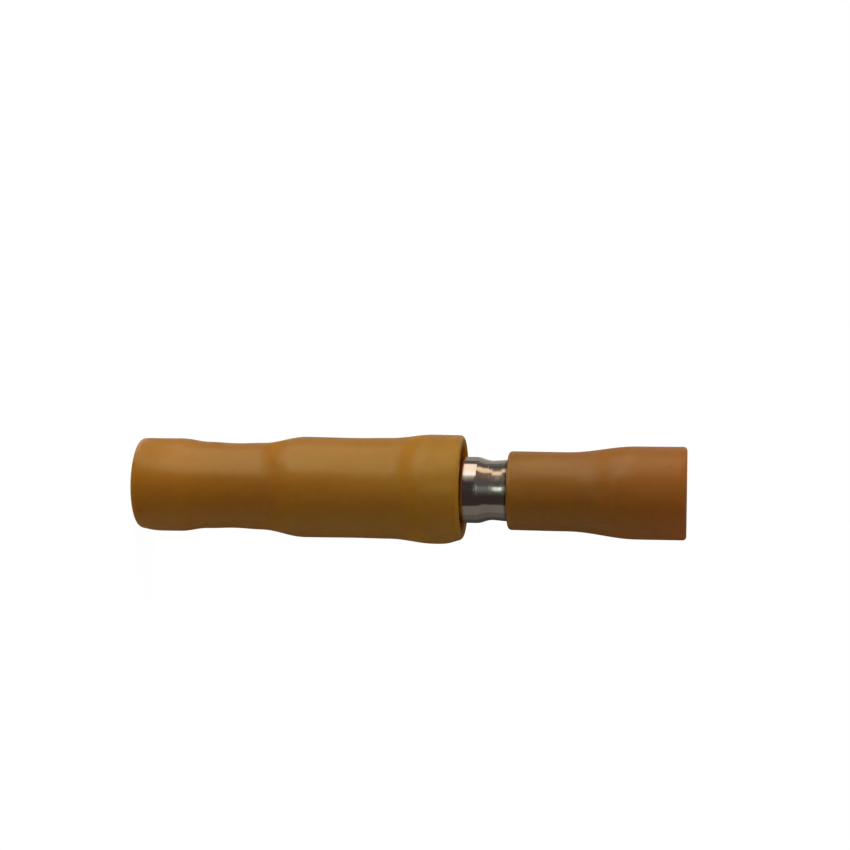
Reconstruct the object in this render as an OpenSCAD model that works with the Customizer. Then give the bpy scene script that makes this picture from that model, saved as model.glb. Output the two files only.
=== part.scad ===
// Insulated round crimp terminal: a bullet plug half pushed into its receptacle, for 4 to 6 mm2 wire.
// Each half is a terminal rolled from plated sheet, in a soft sleeve that grips its crimp barrel.
// The part stands on the receptacle's wire end, which lies on Z = 0, with the plug on top.

/* [Wire] */
// Bore of both crimp barrels, for the bare strands
wire_bore_d = 3.6; // [3.3:0.1:3.9]
// Bore of both sleeves at the wire end, for the wire's insulation
insulation_bore_d = 5.6; // [5:0.1:6.2]

/* [Metal] */
// Thickness of the rolled sheet
sheet_t = 0.5; // [0.35:0.05:0.6]
// Length of both crimp barrels
barrel_len = 5.8; // [4.5:0.1:7]

/* [Bullet] */
// Diameter of the bullet's head and of the bead behind it
bullet_d = 4.95; // [4.9:0.05:5.3]
// Diameter of the groove between the head and the bead
groove_d = 4.4; // [4:0.05:4.7]
// Diameter of the neck at its slimmest
neck_d = 4.45; // [4.1:0.05:4.55]
// Length from the slimmest part of the neck to the sleeve
neck_len = 1.2; // [0.6:0.1:1.6]
// Length of the bead's rise from the neck
bead_rise_len = 1.15; // [0.8:0.05:2]
// Length of the bead's straight part
bead_len = 1.1; // [0.5:0.05:1.5]
// Length of the bead's fall into the groove
bead_fall_len = 1.4; // [1:0.1:2]
// Length of the rise from the groove to the head
head_rise_len = 1.25; // [1:0.05:1.6]
// Length of the head's straight part
head_len = 1.6; // [1:0.1:2.4]
// Length of the rounded nose
nose_len = 2.7; // [2:0.1:3.4]
// Hole that the rolled sheet leaves in the nose
tip_hole_d = 1.2; // [0.6:0.1:1.8]

/* [Socket] */
// Length of the flare from the crimp barrel to the socket
flare_len = 2.4; // [1.8:0.1:3.2]
// Depth of the contact ring pressed into the socket
contact_depth = 0.15; // [0.05:0.01:0.2]
// Length of the contact ring along the socket
contact_len = 1.4; // [0.8:0.1:2]
// Length of the socket from the middle of the contact ring to its lip
lip_len = 2.45; // [2:0.05:3]
// Lead-in chamfer inside the socket's lip
lip_chamfer = 0.2; // [0.05:0.05:0.3]
// Width of the open seam along the socket
seam_w = 0.8; // [0.4:0.1:1.4]

/* [Receptacle sleeve] */
// Length behind the crimp barrel, which covers the end of the wire's insulation
receptacle_wire_len = 4.45; // [3.5:0.05:7]
// Wall round the wire's insulation
receptacle_wire_wall = 0.72; // [0.5:0.02:1]
// Wall at both ends of the crimp barrel
waist_wall = 0.96; // [0.7:0.01:1.3]
// How much thinner the wall is halfway along the crimp barrel
waist_dish = 0.07; // [0.02:0.01:0.12]
// Wall at both ends of the socket
socket_wall = 0.62; // [0.4:0.02:0.9]
// How much thinner the wall is halfway along the socket
socket_dish = 0.03; // [0.01:0.01:0.06]
// Wall of the bell mouth
bell_wall = 0.75; // [0.5:0.05:1]
// Depth of the socket's lip inside the mouth
bell_depth = 4.1; // [3.5:0.1:5]

/* [Plug sleeve] */
// Length of the sleeve in front of the crimp barrel, over the end of the neck
neck_lap = 0.55; // [0.3:0.05:1.5]
// Length behind the crimp barrel, which covers the end of the wire's insulation
plug_wire_len = 6.85; // [5:0.05:9]
// Wall round the crimp barrel
plug_front_wall = 0.64; // [0.5:0.01:0.8]
// Wall round the wire's insulation
plug_wire_wall = 0.66; // [0.5:0.02:1]

/* [Soft steps in the sleeves] */
// Start of the step at the receptacle's wire end, before the crimp barrel
wire_step_lead = 1.3; // [0.5:0.1:2]
// End of that step, past the start of the crimp barrel
wire_step_run = 0.8; // [0.4:0.1:1.6]
// Start of the shoulder, before the flare
shoulder_lead = 0.85; // [0.3:0.05:1.4]
// End of the shoulder, past the flare
shoulder_run = 0.15; // [0:0.05:1]
// Start of the bell's flare, before the socket's lip
bell_lead = 1.4; // [0.6:0.1:2]
// End of the bell's flare, past the socket's lip
bell_run = 1.9; // [1:0.1:2.6]
// Start of the plug sleeve's step, before the end of the crimp barrel
plug_step_lead = 1.95; // [0.5:0.05:2.8]
// End of that step, past the end of the crimp barrel
plug_step_run = 3.2; // [1.5:0.05:4]
// Length over which a bore widens, to the wire's insulation or to the bell
bore_step_len = 1.1; // [0.6:0.1:1.6]
// Radius of the moulded outer edges
edge_r = 0.28; // [0.1:0.02:0.4]
// Radius of the moulded edges of the bores
bore_edge_r = 0.1; // [0.04:0.02:0.2]

/* [Fit] */
// Radial gap between a sleeve and the terminal that it grips
grip_gap = 0.02; // [0.01:0.01:0.05]
// Radial clearance between the contact ring and the bullet
contact_gap = 0.03; // [0.01:0.01:0.1]
// Radial clearance between the bell mouth and the plug's sleeve
bell_gap = 0.39; // [0.3:0.01:0.6]
// Length of the sleeve's bore that stays narrow past the socket's lip
lip_clear = 0.3; // [0.1:0.05:0.6]
// Gap between the mouth and the plug's sleeve, as half pushed in
plug_gap = 3.4; // [1:0.1:6]

/* [Hidden] */
$fn = 96;
blend_steps = 12;
edge_steps = 6;
nose_steps = 16;
edge_share = 0.44;
cut_margin = 1;
tin = [0.72, 0.71, 0.69];
receptacle_vinyl = [0.64, 0.45, 0.18];
plug_vinyl = [0.6, 0.41, 0.18];

insulation_r = insulation_bore_d / 2;
barrel_r = wire_bore_d / 2 + sheet_t;
bullet_r = bullet_d / 2;
socket_bore_r = bullet_r + contact_gap + contact_depth;
socket_r = socket_bore_r + sheet_t;
plug_front_r = barrel_r + grip_gap + plug_front_wall;
plug_wire_r = insulation_r + plug_wire_wall;
receptacle_wire_r = insulation_r + receptacle_wire_wall;
waist_r = barrel_r + grip_gap + waist_wall;
socket_sleeve_r = socket_r + grip_gap + socket_wall;
bell_bore_r = plug_front_r + bell_gap;
bell_r = bell_bore_r + bell_wall;

// Places along the receptacle, from its wire end. Pushed home, the bullet's nose reaches the start of
// the socket, and the contact ring lies in the bullet's groove.
flare_z = receptacle_wire_len + barrel_len;
socket_z = flare_z + flare_len;
contact_z = socket_z + nose_len + head_len + head_rise_len;
lip_z = contact_z + lip_len;
receptacle_len = lip_z + bell_depth;

// Places along the plug, from the front face of its sleeve
bead_z = -neck_len - bead_rise_len;
bead_end_z = bead_z - bead_len;
groove_z = bead_end_z - bead_fall_len;
head_z = groove_z - head_rise_len;
nose_z = head_z - head_len;
plug_barrel_end = neck_lap + barrel_len;
plug_sleeve_len = plug_barrel_end + plug_wire_len;

plug_z = receptacle_len + plug_gap;

// Profiles are lists of [radius, place along the axis]

function last(points) = points[len(points) - 1];
function reversed(points) = [for (i = [len(points) - 1:-1:0]) points[i]];
function widened(points, by) = [for (p = points) [p[0] + by, p[1]]];

// Points through a list of stations, with a soft S between two that differ in radius
function through(stations) = [
    for (i = [0:len(stations) - 2])
        let (a = stations[i], b = stations[i + 1], steps = a[0] == b[0] ? 1 : blend_steps)
            for (k = [0:steps - 1])
                let (t = k / steps)
                    [a[0] + (b[0] - a[0]) * (1 - cos(180 * t)) / 2, a[1] + (b[1] - a[1]) * t],
    last(stations)
];

// The points of a rounded edge, where 0 degrees points outwards and 90 along the axis
function edge(radius, place, round, from, to) = [
    for (k = [0:edge_steps])
        let (angle = from + (to - from) * k / edge_steps)
            [radius + round * cos(angle), place + round * sin(angle)]
];

// The end faces of a sleeve, whose outer edge is rounded by less in a thin wall
function round_in(wall) = min(edge_r, edge_share * wall);
function start_face(bore, outer) =
    let (round = round_in(outer - bore))
        concat(
            edge(bore + bore_edge_r, bore_edge_r, bore_edge_r, 180, 270),
            edge(outer - round, round, round, 270, 360)
        );
function end_face(bore, outer, place) =
    let (round = round_in(outer - bore))
        concat(
            edge(outer - round, place - round, round, 0, 90),
            edge(bore + bore_edge_r, place - bore_edge_r, bore_edge_r, 90, 180)
        );

module turned(profile) {
    rotate_extrude()
        polygon(profile);
}

module moulded(outline, bore, length) {
    turned(concat(
        start_face(bore[0][0], outline[0][0]),
        through(outline),
        end_face(last(bore)[0], last(outline)[0], length),
        reversed(through(bore))
    ));
}

// The rolled receptacle: crimp barrel, flare, and open-seamed socket with a pressed contact ring

barrel_to_socket = [
    [barrel_r, receptacle_wire_len],
    [barrel_r, flare_z],
    [socket_r, socket_z]
];
socket_stations = concat(barrel_to_socket, [
    [socket_r, contact_z - contact_len / 2],
    [socket_r - contact_depth, contact_z],
    [socket_r, contact_z + contact_len / 2],
    [socket_r, lip_z]
]);

module open_seam() {
    translate([-seam_w / 2, 0, flare_z])
        cube([seam_w, socket_r + cut_margin, lip_z - flare_z + cut_margin]);
}

module lead_in() {
    depth = lip_chamfer + cut_margin;
    translate([0, 0, lip_z - lip_chamfer])
        cylinder(h = depth, r1 = socket_bore_r, r2 = socket_bore_r + depth);
}

module receptacle_terminal() {
    color(tin)
        difference() {
            turned(concat(
                through(socket_stations),
                reversed(through(widened(socket_stations, -sheet_t)))
            ));
            open_seam();
            lead_in();
        }
}

// The receptacle's sleeve, one moulding from the wire end over waist and shoulder to the bell mouth

receptacle_outline = [
    [receptacle_wire_r, receptacle_wire_len - wire_step_lead],
    [waist_r, receptacle_wire_len + wire_step_run],
    [waist_r - waist_dish, receptacle_wire_len + barrel_len / 2],
    [waist_r, flare_z - shoulder_lead],
    [socket_sleeve_r, socket_z + shoulder_run],
    [socket_sleeve_r - socket_dish, (socket_z + lip_z) / 2],
    [socket_sleeve_r, lip_z - bell_lead],
    [bell_r, lip_z + bell_run]
];
receptacle_bore = concat(
    [[insulation_r, receptacle_wire_len - bore_step_len]],
    widened(barrel_to_socket, grip_gap),
    [
        [socket_r + grip_gap, lip_z + lip_clear],
        [bell_bore_r, lip_z + lip_clear + bore_step_len]
    ]
);

module receptacle_sleeve() {
    color(receptacle_vinyl)
        moulded(receptacle_outline, receptacle_bore, receptacle_len);
}

// The rolled plug: bullet with nose, head, groove and bead, then neck and crimp barrel

bullet_stations = [
    [bullet_r, nose_z],
    [bullet_r, head_z],
    [groove_d / 2, groove_z],
    [bullet_r, bead_end_z],
    [bullet_r, bead_z],
    [neck_d / 2, -neck_len],
    [barrel_r, 0],
    [barrel_r, plug_barrel_end]
];

// Part of an ellipse, from the tip hole back towards the head
function nose(radius, length) = [
    for (k = [0:nose_steps - 1])
        let (angle = acos(tip_hole_d / 2 / radius) * (1 - k / nose_steps))
            [radius * cos(angle), nose_z - length * sin(angle)]
];

module plug_terminal() {
    color(tin)
        translate([0, 0, plug_z])
            turned(concat(
                nose(bullet_r, nose_len),
                through(bullet_stations),
                reversed(through(widened(bullet_stations, -sheet_t))),
                reversed(nose(bullet_r - sheet_t, nose_len - sheet_t))
            ));
}

// The plug's sleeve, whose front enters the bell mouth when the plug is pushed home

plug_outline = [
    [plug_front_r, plug_barrel_end - plug_step_lead],
    [plug_wire_r, plug_barrel_end + plug_step_run]
];
plug_bore = [
    [barrel_r + grip_gap, plug_barrel_end],
    [insulation_r, plug_barrel_end + bore_step_len]
];

module plug_sleeve() {
    color(plug_vinyl)
        translate([0, 0, plug_z])
            moulded(plug_outline, plug_bore, plug_sleeve_len);
}

receptacle_sleeve();
receptacle_terminal();
plug_sleeve();
plug_terminal();
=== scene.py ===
import math

import bpy
import numpy as np
from mathutils import Matrix, Vector


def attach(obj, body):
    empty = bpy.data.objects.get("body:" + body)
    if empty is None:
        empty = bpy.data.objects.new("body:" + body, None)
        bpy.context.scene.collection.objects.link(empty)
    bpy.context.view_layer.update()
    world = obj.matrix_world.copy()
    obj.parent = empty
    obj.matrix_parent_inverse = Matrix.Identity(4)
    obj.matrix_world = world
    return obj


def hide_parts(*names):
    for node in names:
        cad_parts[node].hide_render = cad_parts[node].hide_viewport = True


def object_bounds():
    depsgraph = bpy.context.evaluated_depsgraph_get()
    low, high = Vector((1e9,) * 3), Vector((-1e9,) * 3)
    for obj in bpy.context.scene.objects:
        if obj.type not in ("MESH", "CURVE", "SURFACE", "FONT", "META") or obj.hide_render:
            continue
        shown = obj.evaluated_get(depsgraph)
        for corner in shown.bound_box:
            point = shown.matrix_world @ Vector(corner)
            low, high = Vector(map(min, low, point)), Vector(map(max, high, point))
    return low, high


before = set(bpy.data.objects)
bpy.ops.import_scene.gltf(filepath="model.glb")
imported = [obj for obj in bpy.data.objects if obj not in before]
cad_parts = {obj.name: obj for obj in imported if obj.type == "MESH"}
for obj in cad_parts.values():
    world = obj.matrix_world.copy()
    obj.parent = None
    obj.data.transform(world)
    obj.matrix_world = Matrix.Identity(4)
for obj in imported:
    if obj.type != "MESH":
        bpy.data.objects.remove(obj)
size_at_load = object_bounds()

MM = 0.001
scene = bpy.context.scene
scene.view_settings.view_transform = "Standard"


def measure(node):
    """The heights of a CAD node's two ends, and its greatest radius, in mm."""
    places = [v.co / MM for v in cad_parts[node].data.vertices]
    heights = [place.z for place in places]
    return min(heights), max(heights), max(place.xy.length for place in places)


WIRE_END, MOUTH, BELL_RADIUS = measure("receptacle_sleeve")
PLUG_FRONT, PLUG_END, PLUG_RADIUS = measure("plug_sleeve")


# Outlines: every CAD node is turned about Z, so its section is read from its vertices and made smooth

SAME_POINT = 0.004 * MM
SHARP_TURN = math.radians(30)
FILLET_SHARES = (0.0, 0.2, 0.4, 0.6, 0.8, 1.0)
FILLET_LIMIT = 0.4


def outline(node):
    """The node's section as a closed loop of (radius, height), read away from the socket's seam."""
    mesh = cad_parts[node].data
    places = np.array([v.co for v in mesh.vertices], float)
    flat = np.column_stack([np.hypot(places[:, 0], places[:, 1]), places[:, 2]])
    far_side = places[:, 1] < 0
    points, which = [], np.full(len(flat), -1)
    for i in np.nonzero(far_side)[0]:
        if which[i] < 0:
            near = far_side & (np.abs(flat - flat[i]).max(axis=1) < SAME_POINT)
            which[near] = len(points)
            points.append(flat[near].mean(axis=0))
    links = [set() for _ in points]
    for edge in mesh.edges:
        a, b = which[edge.vertices[0]], which[edge.vertices[1]]
        if a >= 0 and b >= 0 and a != b:
            links[a].add(b)
            links[b].add(a)
    order, here, before = [], 0, None
    while not order or here != 0:
        order.append(here)
        here, before = next(n for n in sorted(links[here]) if n != before), here
    loop = np.array([points[i] for i in order])
    turned_left = np.cross(loop, np.roll(loop, -1, axis=0)).sum() > 0
    return loop if turned_left else loop[::-1]


def rounded(loop, fillet):
    """The loop with each sharp corner replaced by a small round."""
    made = []
    for before, here, after in zip(np.roll(loop, 1, axis=0), loop, np.roll(loop, -1, axis=0)):
        back, on = before - here, after - here
        back_length, on_length = np.linalg.norm(back), np.linalg.norm(on)
        turn = math.pi - math.acos(np.clip(back @ on / back_length / on_length, -1, 1))
        if turn < SHARP_TURN:
            made.append(here)
            continue
        reach = min(fillet, FILLET_LIMIT * back_length, FILLET_LIMIT * on_length)
        start, end = here + back / back_length * reach, here + on / on_length * reach
        for t in FILLET_SHARES:
            made.append((1 - t) ** 2 * start + 2 * t * (1 - t) * here + t**2 * end)
    return np.array(made)


def smooth(loop, step):
    """A curve through the loop's points that never overshoots them, sampled about every step."""
    lengths = np.linalg.norm(np.roll(loop, -1, axis=0) - loop, axis=1)
    longest = int(lengths.argmax())
    middle = (loop[longest] + loop[(longest + 1) % len(loop)]) / 2
    points = np.vstack([middle, np.roll(loop, -longest - 1, axis=0), middle])
    spans = np.linalg.norm(np.diff(points, axis=0), axis=1)
    slopes = np.diff(points, axis=0) / spans[:, None]
    before, after = slopes[:-1], slopes[1:]
    same_way = before * after > 0
    total = np.where(same_way, before + after, 1)
    inner = np.where(same_way, 2 * before * after / total, 0)
    tangents = np.vstack([slopes[:1], inner, slopes[-1:]])
    made = []
    for i, length in enumerate(spans):
        count = max(1, math.ceil(length / step))
        t = (np.arange(count) / count)[:, None]
        made.append(
            (1 + 2 * t) * (1 - t) ** 2 * points[i]
            + t * (1 - t) ** 2 * length * tangents[i]
            + t**2 * (3 - 2 * t) * points[i + 1]
            + t**2 * (t - 1) * length * tangents[i + 1]
        )
    return np.vstack(made)


def outward_share(loop):
    """How far each point lies on the outer face: 1 there, 0 in the bore, and between on the rims."""
    along = np.roll(loop, -1, axis=0) - np.roll(loop, 1, axis=0)
    return np.clip(along[:, 1] / np.linalg.norm(along, axis=1), 0, 1)


# Meshes

SOFT_EDGE = math.radians(40)


def add_mesh(name, places, faces, material):
    mesh = bpy.data.meshes.new(name)
    mesh.from_pydata(places.tolist(), [], faces)
    mesh.polygons.foreach_set("use_smooth", np.ones(len(mesh.polygons), bool))
    mesh.update()
    mesh.set_sharp_from_angle(angle=SOFT_EDGE)
    mesh.materials.append(material)
    made = bpy.data.objects.new(name, mesh)
    scene.collection.objects.link(made)
    return made


def lathe(name, loop, angles, relief, material):
    """The loop turned about Z, with a relief in metres that knows how far a point lies on the outer face."""
    count, around = len(loop), len(angles)
    radius = np.repeat(loop[:, :1], around, axis=1)
    height = np.repeat(loop[:, 1:], around, axis=1)
    radius = radius + relief(angles[None, :], height, outward_share(loop)[:, None])
    places = np.stack([radius * np.cos(angles), radius * np.sin(angles), height], axis=-1).reshape(-1, 3)
    faces = []
    for j in range(count):
        row, above = j * around, (j + 1) % count * around
        for i in range(around):
            k = (i + 1) % around
            faces.append((row + i, row + k, above + k, above + i))
    return add_mesh(name, places, faces, material)


def even_angles(count):
    return np.arange(count) * 2 * math.pi / count


# Materials

# Sockets of the Mix node that belong to its colours
MIX_SHARE, MIX_A, MIX_B, MIX_RESULT = 0, 6, 7, 2


def rgba(colour):
    return (*colour, 1.0)


def tone_rgba(tone):
    """A colour as it is, and a single number as a grey."""
    return rgba(tone if isinstance(tone, tuple) else (tone,) * 3)


class Graph:
    """Adds shader nodes to one tree, and links or sets their sockets by name."""

    def __init__(self, tree):
        self.tree = tree
        tree.nodes.clear()

    def fill(self, socket, value):
        if isinstance(value, bpy.types.NodeSocket):
            self.tree.links.new(value, socket)
        else:
            socket.default_value = value

    def add(self, kind, sockets=None, **settings):
        made = self.tree.nodes.new("ShaderNode" + kind)
        for name, value in settings.items():
            setattr(made, name, value)
        for name, value in (sockets or {}).items():
            self.fill(made.inputs[name], value)
        return made

    def math(self, operation, a, b=0.0):
        return self.add("Math", {0: a, 1: b}, operation=operation).outputs[0]

    def length(self, a, b):
        """The length of the vector (a, b)."""
        return self.math("SQRT", self.math("ADD", self.math("POWER", a, 2.0), self.math("POWER", b, 2.0)))

    def off(self, value, place):
        """How far a value lies from a place in mm."""
        return self.math("ABSOLUTE", self.math("SUBTRACT", value, place * MM))

    def noise(self, where, scale, detail, roughness):
        sockets = {"Vector": where, "Scale": scale, "Detail": detail, "Roughness": roughness}
        return self.add("TexNoise", sockets).outputs["Fac"]

    def between(self, value, low, high, to_low=0.0, to_high=1.0):
        sockets = {"Value": value, "From Min": low, "From Max": high, "To Min": to_low, "To Max": to_high}
        return self.add("MapRange", sockets, interpolation_type="SMOOTHSTEP").outputs[0]

    def near(self, off, full, reach, share):
        """A share that holds as far as full, in mm, and is gone at reach."""
        return self.between(off, full * MM, reach * MM, share, 0.0)

    def mix(self, share, a, b, blend="MIX"):
        made = self.add("Mix", data_type="RGBA", blend_type=blend)
        for socket, value in ((MIX_SHARE, share), (MIX_A, a), (MIX_B, b)):
            self.fill(made.inputs[socket], value)
        return made.outputs[MIX_RESULT]

    def tinted(self, share, colour, tint):
        """The colour, with a share of it multiplied by a tint."""
        return self.mix(share, colour, self.mix(1.0, colour, rgba(tint), "MULTIPLY"))

    def ramp(self, value, stops):
        """The colour or tone at a value, between stops of (value, colour or tone)."""
        first, last = stops[0][0], stops[-1][0]
        share = self.add("MapRange", {"Value": value, "From Min": first, "From Max": last}).outputs[0]
        made = self.add("ValToRGB", {"Fac": share})
        elements = made.color_ramp.elements
        while len(elements) < len(stops):
            elements.new(0.5)
        for element, (place, tone) in zip(elements, stops):
            element.position = (place - first) / (last - first)
            element.color = tone_rgba(tone)
        return made.outputs["Color"]

    def bump(self, height, distance, strength, under=None):
        """A bump, of a distance in mm, over another one."""
        sockets = {"Height": height, "Distance": distance * MM, "Strength": strength}
        if under is not None:
            sockets["Normal"] = under
        return self.add("Bump", sockets).outputs[0]


def new_material(name):
    material = bpy.data.materials.new(name)
    material.use_nodes = True
    return material, Graph(material.node_tree)


# Noise patterns, as (waves in a metre, detail, roughness), and the parts of their range that show
CLOUDS = (260, 3, 0.55)
MOTTLE = (1300, 4, 0.6)
GRAIN = (9000, 2, 0.6)
WANDER = (180, 0, 0.5)
DRAWN_LINES = (9000, 3, 0.6)
PATCHES = (900, 4, 0.6)
PITS = (5200, 2, 0.5)
MID_RANGE = (0.3, 0.7)
WIDE_RANGE = (0.25, 0.75)
HIGH_RANGE = (0.35, 0.75)
LOW_RANGE = (0.35, 0.6)

# Vinyl: bumps are (mm, strength), and reaches are in mm
CLOUD_COLOUR, CLOUD_SHARE = (0.3, 0.12, 0.01), 0.1
MOTTLE_TINT, MOTTLE_SHARE = (0.86, 0.8, 0.7), 0.3
GRAIN_TINT, GRAIN_SHARE = (0.6, 0.6, 0.6), 0.1
# The rim's tint and reach give painted shade on its edge.
RIM_SHADE_TINT, RIM_SHADE_REACH = (0.87, 0.9, 1.2), (0.12, 0.45)
SPECK_COLOUR, SPECK_SHARE = (0.035, 0.02, 0.008), 0.3
SPECK_CELLS, SPECK_SIZE, SPECK_REACH = 800, (0.05, 0.17), (0.5, 1.3)
DULL_WANDER, DULL_LEAST = 0.7, 0.75
DULL_ROUGHNESS, DULL_SHEEN = 0.15, 0.25
VINYL_ROUGHNESS = (0.31, 0.4)
GRAIN_BUMP, MOTTLE_BUMP = (0.006, 0.4), (0.012, 0.5)
GLOW_COLOURS, GLOW_REACH = (1.0, 0.8, 0.35), 1.8


def dull_bands(graph, where, height, clouds, bands):
    """How dull the vinyl is, from bands of (height, reach, share) that wander and that clouds break up."""
    wander = graph.between(graph.noise(where, *WANDER), *MID_RANGE, -DULL_WANDER * MM, DULL_WANDER * MM)
    wandering = graph.math("ADD", height, wander)
    dull = 0.0
    for place, reach, share in bands:
        dull = graph.math("ADD", graph.near(graph.off(wandering, place), 0.0, reach, share), dull)
    return graph.math("MULTIPLY", dull, graph.between(clouds, *LOW_RANGE, DULL_LEAST, 1.0))


def specks(graph, where, height, end):
    """Small dark dots near one end."""
    cells = graph.add("TexVoronoi", {"Vector": where, "Scale": SPECK_CELLS, "Randomness": 1.0})
    dots = graph.between(cells.outputs["Distance"], *SPECK_SIZE, 1.0, 0.0)
    return graph.math("MULTIPLY", dots, graph.near(graph.off(height, end), *SPECK_REACH, SPECK_SHARE))


def vinyl(name, tones, sheen, speck_end, dull_at, shaded_rim):
    """Soft moulded vinyl with grain, specks near one end, dull bands and painted shade on a rim.

    The tones are (height, colour), the sheen is (level, tint) and the shaded rim is (radius, height).
    """
    material, graph = new_material(name)
    where = graph.add("TexCoord").outputs["Object"]
    x, y, height = graph.add("SeparateXYZ", {0: where}).outputs
    clouds, mottle, grain = (graph.noise(where, *pattern) for pattern in (CLOUDS, MOTTLE, GRAIN))
    body = graph.ramp(graph.math("DIVIDE", height, MM), tones)
    body = graph.mix(graph.between(clouds, *MID_RANGE, 0.0, CLOUD_SHARE), body, rgba(CLOUD_COLOUR))
    body = graph.tinted(graph.between(mottle, *MID_RANGE, 0.0, MOTTLE_SHARE), body, MOTTLE_TINT)
    body = graph.tinted(graph.between(grain, *WIDE_RANGE, 0.0, GRAIN_SHARE), body, GRAIN_TINT)
    rim_radius, rim_height = shaded_rim
    off_rim = graph.length(graph.off(graph.length(x, y), rim_radius), graph.off(height, rim_height))
    # Painted shade: the outer edge of the rim is darkened and greyed.
    body = graph.tinted(graph.near(off_rim, *RIM_SHADE_REACH, 1.0), body, RIM_SHADE_TINT)
    body = graph.mix(specks(graph, where, height, speck_end), body, rgba(SPECK_COLOUR))
    dull = dull_bands(graph, where, height, clouds, dull_at)
    rough = graph.between(mottle, *WIDE_RANGE, *VINYL_ROUGHNESS)
    level, tint = sheen
    shader = graph.add(
        "BsdfPrincipled",
        {
            "Base Color": body,
            "Roughness": graph.math("ADD", graph.math("MULTIPLY", dull, DULL_ROUGHNESS), rough),
            "Specular IOR Level": graph.between(dull, 0.0, 1.0, level, DULL_SHEEN * level),
            "Specular Tint": rgba(tint),
            "Subsurface Weight": 1.0,
            "Subsurface Radius": GLOW_COLOURS,
            "Subsurface Scale": GLOW_REACH * MM,
            "Normal": graph.bump(grain, *GRAIN_BUMP, graph.bump(mottle, *MOTTLE_BUMP)),
        },
    )
    graph.add("OutputMaterial", {"Surface": shader.outputs[0]})
    return material


# Tin: rings of painted shade are (height, full, reach) in mm, where the plug's sleeve starts and in the
# bell's mouth
TIN, TARNISHED, TARNISH_SHARE = (0.93, 0.80, 0.65), (0.84, 0.69, 0.53), 0.5
LINE_COLOUR, LINE_SHARE, LINE_STRETCH = (0.6, 0.5, 0.4), 0.12, (1.0, 1.0, 0.08)
RING_SHADE_COLOUR, RING_SHADE_SHARE = (0.16, 0.08, 0.05), 0.75
SHADE_RINGS = ((PLUG_FRONT, 0.05, 0.28), (MOUTH - 0.25, 0.2, 0.6))
TIN_ROUGHNESS = (0.07, 0.13)
LINE_BUMP, PIT_BUMP = (0.004, 0.35), (0.006, 0.3)


def tin(name):
    """Bright tin on brass, drawn lengthwise, with a faint tarnish and dark rings of painted shade."""
    material, graph = new_material(name)
    where = graph.add("TexCoord").outputs["Object"]
    height = graph.add("SeparateXYZ", {0: where}).outputs[2]
    drawn = graph.add("Mapping", {"Vector": where, "Scale": LINE_STRETCH}).outputs[0]
    lines = graph.noise(drawn, *DRAWN_LINES)
    patches = graph.noise(where, *PATCHES)
    pits = graph.noise(where, *PITS)
    body = graph.mix(graph.between(patches, *HIGH_RANGE, 0.0, TARNISH_SHARE), rgba(TIN), rgba(TARNISHED))
    body = graph.mix(graph.between(lines, *MID_RANGE, 0.0, LINE_SHARE), body, rgba(LINE_COLOUR))
    # Painted shade: the rings darken the tin where the plug's sleeve starts and inside the bell's mouth.
    for place, full, reach in SHADE_RINGS:
        ring_shade = graph.near(graph.off(height, place), full, reach, RING_SHADE_SHARE)
        body = graph.mix(ring_shade, body, rgba(RING_SHADE_COLOUR))
    shader = graph.add(
        "BsdfPrincipled",
        {
            "Base Color": body,
            "Metallic": 1.0,
            "Roughness": graph.between(patches, *MID_RANGE, *TIN_ROUGHNESS),
            "Normal": graph.bump(lines, *LINE_BUMP, graph.bump(pits, *PIT_BUMP)),
        },
    )
    graph.add("OutputMaterial", {"Surface": shader.outputs[0]})
    return material


receptacle_vinyl = vinyl(
    "receptacle_vinyl",
    # These tones are partly the vinyl's own and partly painted light: lighter near the wire end and towards
    # the bell than at the waist, as light shining through the thin wall.
    tones=[
        (WIRE_END, (0.465, 0.19, 0.013)),
        (3.2, (0.49, 0.19, 0.012)),
        (6.5, (0.448, 0.172, 0.011)),
        (10.5, (0.44, 0.17, 0.011)),
        (12.5, (0.462, 0.19, 0.0115)),
        (19, (0.462, 0.192, 0.0115)),
        (22, (0.462, 0.208, 0.0125)),
        (MOUTH, (0.47, 0.217, 0.013)),
    ],
    sheen=(0.88, (1.0, 1.0, 0.52)),
    speck_end=WIRE_END + 0.7,
    dull_at=((1.4, 1.8, 0.5), (11.2, 1.9, 1.1), (21.0, 1.1, 0.9)),
    shaded_rim=(BELL_RADIUS - 0.15, MOUTH - 0.15),
)
plug_vinyl = vinyl(
    "plug_vinyl",
    # These tones are partly the vinyl's own, redder towards the wire end, and partly painted light: lighter
    # towards the wire end, as light shining through the thin wall.
    tones=[
        (PLUG_FRONT, (0.345, 0.138, 0.01)),
        (35, (0.365, 0.132, 0.0105)),
        (PLUG_END, (0.397, 0.131, 0.0115)),
    ],
    sheen=(0.85, (1.0, 1.0, 0.66)),
    speck_end=PLUG_END - 0.55,
    dull_at=((35.9, 1.3, 0.7),),
    shaded_rim=(PLUG_RADIUS - 0.11, PLUG_END - 0.15),
)
tinned_brass = tin("tinned_brass")


# The pieces

SLEEVE_STEP, SLEEVE_AROUND = 0.16 * MM, 160
BULLET_STEP, SOCKET_STEP, METAL_AROUND = 0.1 * MM, 0.14 * MM, 144
METAL_FILLET = 0.07 * MM

# A sleeve's oval is (depth, twist), its waves are (depth, lobes, twist, phases) and its rims (height, depth)
OVAL = (0.014, 0.05)
WAVES = ((0.009, 3, -0.45, 2), (0.006, 5, 0.8, 1))
LEAN_REACH, LEAN_TURN = 0.85, 0.8
RECEPTACLE_PHASE, PLUG_PHASE = 0.6, 2.1
RECEPTACLE_RIMS = ((WIRE_END, 0.2), (MOUTH, 0.34))

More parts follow.
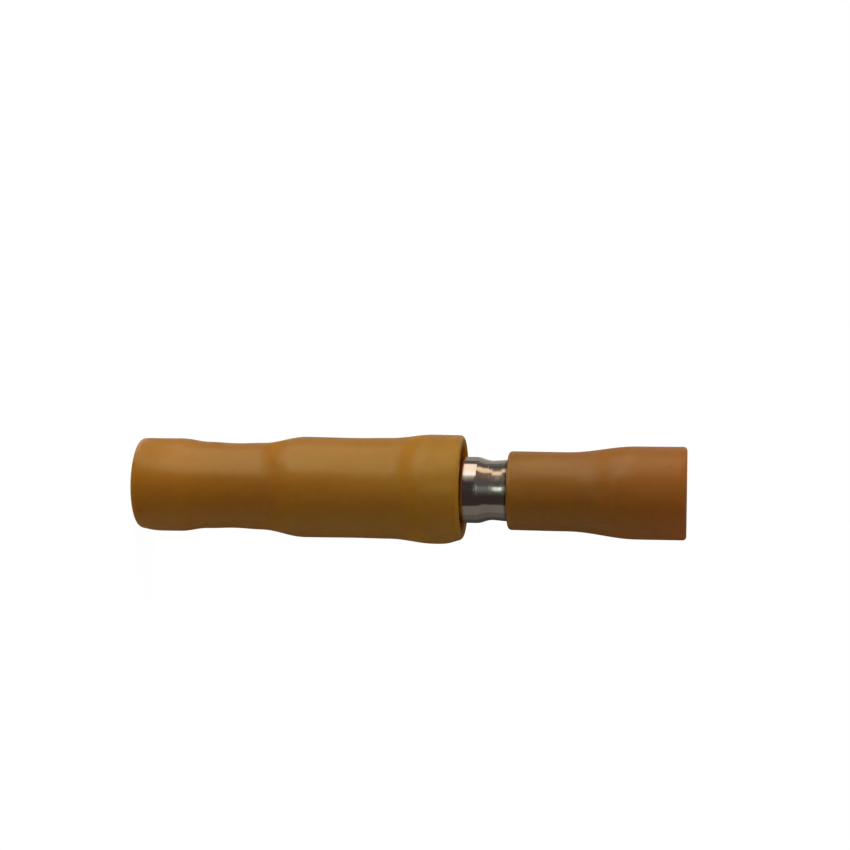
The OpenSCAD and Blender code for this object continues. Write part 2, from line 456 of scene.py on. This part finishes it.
# The socket's seam is open from the end of its crimp barrel, and the bullet's is closed
SEAM_ANGLE = math.pi / 2
SEAM_HALF_WIDTH = 0.4 * MM
SEAM_START, PAST_LIP = 10.25 * MM, 30 * MM
PAST_WALL = 9 * MM
CLOSED_SEAM_DEPTH, CLOSED_SEAM_WIDTH = 0.04 * MM, 0.035 * MM
CLOSED_SEAM_RADIUS = 2.2 * MM
FINE_REACH, FINE_COUNT, COARSE_FROM = 0.06, 25, 0.07


def sleeve_relief(phase, soft_rims=()):
    """A moulded sleeve is slightly oval and wavy, and leans in at +X at its soft rims."""

    def relief(angle, height, outer):
        z = height / MM
        depth, twist = OVAL
        made = depth * np.cos(2 * angle + phase + twist * z)
        for depth, lobes, twist, phases in WAVES:
            made = made + depth * np.sin(lobes * angle + twist * z + phases * phase)
        made = made * outer
        from_x = (angle + math.pi) % (2 * math.pi) - math.pi
        for rim, depth in soft_rims:
            made = made - depth * np.exp(-(((z - rim) / LEAN_REACH) ** 2) - (from_x / LEAN_TURN) ** 2)
        return made * MM

    return relief


def rolled_seam(angle, height, outer):
    """The closed seam of the rolled sheet is a fine groove on the side away from the camera."""
    off_seam = (angle - SEAM_ANGLE) * CLOSED_SEAM_RADIUS
    return -CLOSED_SEAM_DEPTH * np.exp(-((off_seam / CLOSED_SEAM_WIDTH) ** 2)) * outer


def plain(angle, height, outer):
    return 0 * angle * outer


def bullet_angles():
    """Even angles, with finer ones across the closed seam."""
    fine = SEAM_ANGLE + np.linspace(-FINE_REACH, FINE_REACH, FINE_COUNT)
    even = even_angles(METAL_AROUND)
    return np.sort(np.concatenate([fine, even[np.abs(even - SEAM_ANGLE) > COARSE_FROM]]))


def open_seam(piece):
    """Cuts the seam of the rolled socket open, from the flare to the lip."""
    sides = [
        (-SEAM_HALF_WIDTH, 0),
        (SEAM_HALF_WIDTH, 0),
        (SEAM_HALF_WIDTH, PAST_WALL),
        (-SEAM_HALF_WIDTH, PAST_WALL),
    ]
    corners = np.array([(x, y, z) for z in (SEAM_START, PAST_LIP) for x, y in sides])
    faces = [(3, 2, 1, 0), (4, 5, 6, 7)] + [(i, (i + 1) % 4, 4 + (i + 1) % 4, 4 + i) for i in range(4)]
    cutter = add_mesh("cutter", corners, faces, None)
    cut = piece.modifiers.new("seam", "BOOLEAN")
    cut.operation, cut.solver, cut.object = "DIFFERENCE", "EXACT", cutter
    mesh = bpy.data.meshes.new_from_object(piece.evaluated_get(bpy.context.evaluated_depsgraph_get()))
    piece.modifiers.clear()
    piece.data = mesh
    bpy.data.objects.remove(cutter)
    mesh.set_sharp_from_angle(angle=SOFT_EDGE)


receptacle_skin = lathe(
    "receptacle_moulding",
    smooth(outline("receptacle_sleeve"), SLEEVE_STEP),
    even_angles(SLEEVE_AROUND),
    sleeve_relief(RECEPTACLE_PHASE, RECEPTACLE_RIMS),
    receptacle_vinyl,
)
plug_skin = lathe(
    "plug_moulding",
    smooth(outline("plug_sleeve"), SLEEVE_STEP),
    even_angles(SLEEVE_AROUND),
    sleeve_relief(PLUG_PHASE),
    plug_vinyl,
)
bullet = lathe(
    "plug_bullet",
    smooth(rounded(outline("plug_terminal"), METAL_FILLET), BULLET_STEP),
    bullet_angles(),
    rolled_seam,
    tinned_brass,
)
socket = lathe(
    "receptacle_socket",
    smooth(rounded(outline("receptacle_terminal"), METAL_FILLET), SOCKET_STEP),
    even_angles(METAL_AROUND),
    plain,
    tinned_brass,
)
open_seam(socket)
for piece, node, body, slot in (
    (receptacle_skin, "receptacle_sleeve", "receptacle", "receptacle_vinyl"),
    (socket, "receptacle_terminal", "receptacle", "tinned_brass"),
    (plug_skin, "plug_sleeve", "plug", "plug_vinyl"),
    (bullet, "plug_terminal", "plug", "tinned_brass"),
):
    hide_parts(node)
    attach(piece, body)


# Cards, which only the reflections show: a list of them gives (name, start, end, rings, paint)

CARD_STEPS = 24


def plain_tone(tone):
    """A card of one tone."""
    return lambda graph: tone_rgba(tone)


def graded(levels):
    """A card of several levels, as (height in mm, tones), with tones as (degrees, tone) around it."""

    def paint(graph):
        where = graph.add("TexCoord").outputs["Object"]
        x, y, z = graph.add("SeparateXYZ", {0: where}).outputs
        turn = graph.math("ARCTAN2", graph.math("MULTIPLY", x, -1.0), graph.math("MULTIPLY", y, -1.0))
        degrees = graph.math("MULTIPLY", turn, math.degrees(1))
        below, lowest_tones = levels[0]
        colour = graph.ramp(degrees, lowest_tones)
        for height, tones in levels[1:]:
            share = graph.between(z, below * MM, height * MM)
            colour = graph.mix(share, colour, graph.ramp(degrees, tones))
            below = height
        return colour

    return paint


def add_card(name, start, end, rings, paint):
    """A card of rings of (radius, height), in mm. Start and end are degrees from the camera towards -X."""
    material, graph = new_material(name)
    shine = graph.add("Emission", {"Color": paint(graph)})
    graph.add("OutputMaterial", {"Surface": shine.outputs[0]})
    turns = np.radians(np.linspace(start, end, CARD_STEPS + 1))
    around = np.column_stack([-np.sin(turns), -np.cos(turns)])
    places = np.vstack([np.insert(around * radius, 2, height, axis=1) for radius, height in rings]) * MM
    rows = [j * (CARD_STEPS + 1) + i for j in range(len(rings) - 1) for i in range(CARD_STEPS)]
    faces = [(k, k + 1, k + CARD_STEPS + 2, k + CARD_STEPS + 1) for k in rows]
    card = add_mesh(name, places, faces, material)
    for ray in ("camera", "diffuse", "transmission", "volume_scatter", "shadow"):
        setattr(card, "visible_" + ray, False)


# The room around the part: dark in front, a bright sill above it in the picture, and greys behind
FLOOR_UP = [(0.5, 0.1), (80, 0.1), (80, 130)]
SILL = [(4.8, 0.1), (78, 0.1), (78, 13)]
OVER_SILL = [(80, 13.5), (80, 17)]
ABOVE_SILL = [(80, 17), (80, 130)]
NEAR_END = [(4.2, 0.12), (11, 0.12)]
BEHIND_RIM = [(12, 25), (12, 29)]
LID = [(82, 130), (0.5, 130)]
SHADE, BACK_GREY = (0.03, 0.025, 0.026), 0.28
RIM_EDGE_TONES = [(134, BACK_GREY), (160, BACK_GREY)]
RIM_TONES = [(134, BACK_GREY), (145, 0.52), (153, 0.52), (160, BACK_GREY)]
rim = graded([(25, RIM_EDGE_TONES), (26.5, RIM_TONES), (27.5, RIM_TONES), (29, RIM_EDGE_TONES)])
for name, start, end, rings, paint in (
    ("front_flag", -57, 31, FLOOR_UP, plain_tone(SHADE)),
    ("front_flag_step", 31, 48, OVER_SILL, plain_tone(SHADE)),
    ("front_flag_top", 31, 43, ABOVE_SILL, plain_tone(SHADE)),
    ("window_sill", 31, 64, SILL, plain_tone(1.35)),
    ("near_card", 64, 108, NEAR_END, plain_tone(0.3)),
    ("lower_card", -95, -57, FLOOR_UP, plain_tone(0.14)),
    ("lower_side_card", -125, -95, FLOOR_UP, plain_tone(0.095)),
    ("lower_back_card", -200, -125, FLOOR_UP, plain_tone(0.05)),
    ("upper_stripe", 108, 122, FLOOR_UP, plain_tone(0.09)),
    ("upper_back_card", 122, 160, FLOOR_UP, plain_tone(BACK_GREY)),
    ("rim_card", 134, 160, BEHIND_RIM, rim),
    ("lid", -180, 180, LID, plain_tone(0.05)),
):
    add_card(name, start, end, rings, paint)

# The bullet's bead, neck and the rise between them each mirror their own height of these screens
HIGH = [(79, 36.5), (79, 129)]
COLLAR_LOW = [(10, 23.9), (10, 25.05)]
COLLAR_MIDDLE = [(10, 25.05), (10, 25.95)]
COLLAR_HIGH = [(10, 25.95), (10, 27.75)]
GLINT_SCREEN = [(30, 17.5), (30, 24.2)]
BAND_SCREEN = [(30, 17.5), (30, 28.6)]
WHITE, BLUE_WHITE = (1.06, 0.97, 0.88), (1.1, 1.15, 1.25)
WARM, BROWN = (0.9, 0.72, 0.57), (0.15, 0.11, 0.085)
GLINT, SIDE_GLINT, DIM_GLINT = (1.0, 1.25, 1.3), (0.65, 0.81, 0.84), (0.45, 0.57, 0.59)
TEAL, DIM_TEAL, DARK_TEAL = (0.22, 0.29, 0.3), (0.13, 0.17, 0.17), (0.05, 0.065, 0.065)
BEAD_TONES = [
    (-22, SHADE), (18, SHADE), (24, 0.045), (30, 0.1), (37, 0.25), (43, 0.5),
    (48, BLUE_WHITE), (54, BLUE_WHITE), (62, WHITE), (88, WHITE), (94, 0.08), (104, 0.08),
]
NECK_TONES = [
    (-22, SHADE), (13, 0.2), (18, 0.09), (25, 0.065), (39, 0.085), (49, BROWN), (94, 0.075), (104, 0.16),
]
VALLEY_TONES = [
    (-22, SHADE), (-13, 0.06), (-4, 0.12), (3, TEAL), (10, TEAL), (16, 0.1), (25, 0.075), (46, BROWN),
    (61, BROWN), (67, WARM), (75, WARM), (81, 0.2), (88, 0.07), (97, 0.08), (104, 0.2),
]
RISE_TONES = [
    (-24, SHADE), (-12, 0.055), (0, (0.12, 0.155, 0.16)), (10, (0.14, 0.185, 0.19)), (17, 0.08),
    (40, 0.085), (52, BROWN), (67, (0.2, 0.15, 0.12)), (74, WARM), (88, WARM), (95, 0.09), (113, 0.1),
    (119, 0.22), (125, 0.26),
]
GLINT_TONES = [
    (-21, SHADE), (-13, DARK_TEAL), (-6, DIM_TEAL), (-2, DIM_GLINT), (3, GLINT), (9, GLINT), (12, 0.35),
    (16, 0.1),
]
GLINT_SIDE_TONES = [
    (-21, SHADE), (-6, 0.1), (-2, TEAL), (3, SIDE_GLINT), (9, SIDE_GLINT), (12, 0.25), (16, 0.1),
]
GLINT_EDGE_TONES = [(-21, SHADE), (-6, 0.08), (3, TEAL), (9, TEAL), (16, 0.1)]
NECK_BAND_TONES = [
    (46, 0.095), (52, BROWN), (58, 0.3), (61.5, WARM), (72, WARM), (78, 0.2), (86, 0.075), (103, 0.075),
]
BEAD_BAND_TONES = [
    (46, 0.5), (51, BLUE_WHITE), (58, BLUE_WHITE), (66, WHITE), (94, WHITE), (101, 0.08), (103, 0.08),
]
collar = graded([(25.1, BEAD_TONES), (25.3, NECK_TONES), (25.5, NECK_TONES), (26.0, VALLEY_TONES)])
glint = graded([(19.8, GLINT_TONES), (21.4, GLINT_SIDE_TONES), (23.4, GLINT_EDGE_TONES)])
band = graded([(23.0, NECK_BAND_TONES), (23.6, BEAD_BAND_TONES)])
for name, start, end, rings, paint in (
    ("collar_low", -22, 104, COLLAR_LOW, collar),
    ("collar_middle", 14, 44, COLLAR_MIDDLE, collar),
    ("collar_middle_top", 94, 104, COLLAR_MIDDLE, collar),
    ("collar_high", -22, 104, COLLAR_HIGH, collar),
    ("glint_screen", -21, 16, GLINT_SCREEN, glint),
    ("band_screen", 46, 103, BAND_SCREEN, band),
    ("high_screen", -24, 125, HIGH, graded([(0, RISE_TONES)])),
):
    add_card(name, start, end, rings, paint)


# Stage: a white floor and world, and a soft key

SEEN_WHITE = (1.0, 1.0, 1.0)
SEEN_LEVEL, FLOOR_SEEN_LEVEL = 1.0, 1.01
FILL = 0.3
KEY_LEVEL = 1.03
KEY_ROUND = math.radians(70)
KEY_UP = math.radians(5)
KEY_ANGLE = math.radians(50)
FLOOR_TONE = 0.15
FLOOR_REACH = 4.0


def seen_directly(graph):
    """1 for camera, glossy and transmission rays, which see the plain white background."""
    path = graph.add("LightPath").outputs
    seen = graph.math("MAXIMUM", path["Is Camera Ray"], path["Is Glossy Ray"])
    return graph.math("MAXIMUM", seen, path["Is Transmission Ray"])


def add_world():
    """The world looks white, and fills the shade a little."""
    world = bpy.data.worlds.new("studio")
    scene.world = world
    world.use_nodes = True
    graph = Graph(world.node_tree)
    strength = graph.between(seen_directly(graph), 0.0, 1.0, FILL, SEEN_LEVEL)
    sky = graph.add("Background", {"Color": rgba(SEEN_WHITE), "Strength": strength})
    graph.add("OutputWorld", {"Surface": sky.outputs[0]})


def add_floor():
    """The floor looks white, and lights the object from below as much as the world does from above."""
    material, graph = new_material("floor")
    paper = graph.add("BsdfDiffuse", {"Color": tone_rgba(FLOOR_TONE)})
    paper_level = FLOOR_TONE * (KEY_LEVEL * math.sin(KEY_UP) + FILL)
    level = graph.between(seen_directly(graph), 0.0, 1.0, FILL - paper_level, FLOOR_SEEN_LEVEL - paper_level)
    glow = graph.add("Emission", {"Color": rgba(SEEN_WHITE), "Strength": level})
    both = graph.add("AddShader", {0: paper.outputs[0], 1: glow.outputs[0]})
    graph.add("OutputMaterial", {"Surface": both.outputs[0]})
    corners = np.array([(-1, -1, 0), (1, -1, 0), (1, 1, 0), (-1, 1, 0)]) * FLOOR_REACH
    add_mesh("floor", corners, [(0, 1, 2, 3)], material)


def add_key():
    """A wide soft sun from the photograph's upper side, which the reflections don't show."""
    key_from = Vector(
        (
            -math.sin(KEY_ROUND) * math.cos(KEY_UP),
            -math.cos(KEY_ROUND) * math.cos(KEY_UP),
            math.sin(KEY_UP),
        )
    )
    sun = bpy.data.lights.new("key", "SUN")
    sun.energy = math.pi * KEY_LEVEL
    sun.angle = KEY_ANGLE
    key = bpy.data.objects.new("key", sun)
    key.rotation_mode = "QUATERNION"
    key.rotation_quaternion = key_from.to_track_quat("Z", "Y")
    key.visible_glossy = False
    scene.collection.objects.link(key)


add_world()
add_floor()
add_key()


# Camera: the part stands, and the photograph shows it on its side, so the picture is turned by a right angle

# In pixels: the photograph's width, the focal length and the place of the part's middle
PICTURE = 850
FOCAL = 1993.4
MIDDLE_AT = (409.66, 488.78)
DISTANCE = 150 * MM
ABOVE = math.radians(7.804)
ROLL = math.radians(1.064)
SENSOR = 36
CLIP_START = 1 * MM


def add_camera():
    middle = (size_at_load[0] + size_at_load[1]) / 2
    back = Vector((0, -math.cos(ABOVE), math.sin(ABOVE)))
    along = Vector((0, math.sin(ABOVE), math.cos(ABOVE)))
    upward = back.cross(along)
    right = math.cos(ROLL) * along + math.sin(ROLL) * upward
    top = math.cos(ROLL) * upward - math.sin(ROLL) * along
    ray = Vector(((MIDDLE_AT[0] - PICTURE / 2) / FOCAL, (PICTURE / 2 - MIDDLE_AT[1]) / FOCAL, -1))
    aim = ray.rotation_difference(Vector((0, 0, -1)))
    lens = bpy.data.cameras.new("camera")
    lens.sensor_width = SENSOR
    lens.lens = SENSOR * FOCAL / PICTURE
    lens.clip_start = CLIP_START
    camera = bpy.data.objects.new("camera", lens)
    camera.rotation_mode = "QUATERNION"
    camera.location = middle + back * DISTANCE
    camera.rotation_quaternion = (Matrix((right, top, back)).transposed() @ aim.to_matrix()).to_quaternion()
    scene.collection.objects.link(camera)
    scene.camera = camera


add_camera()
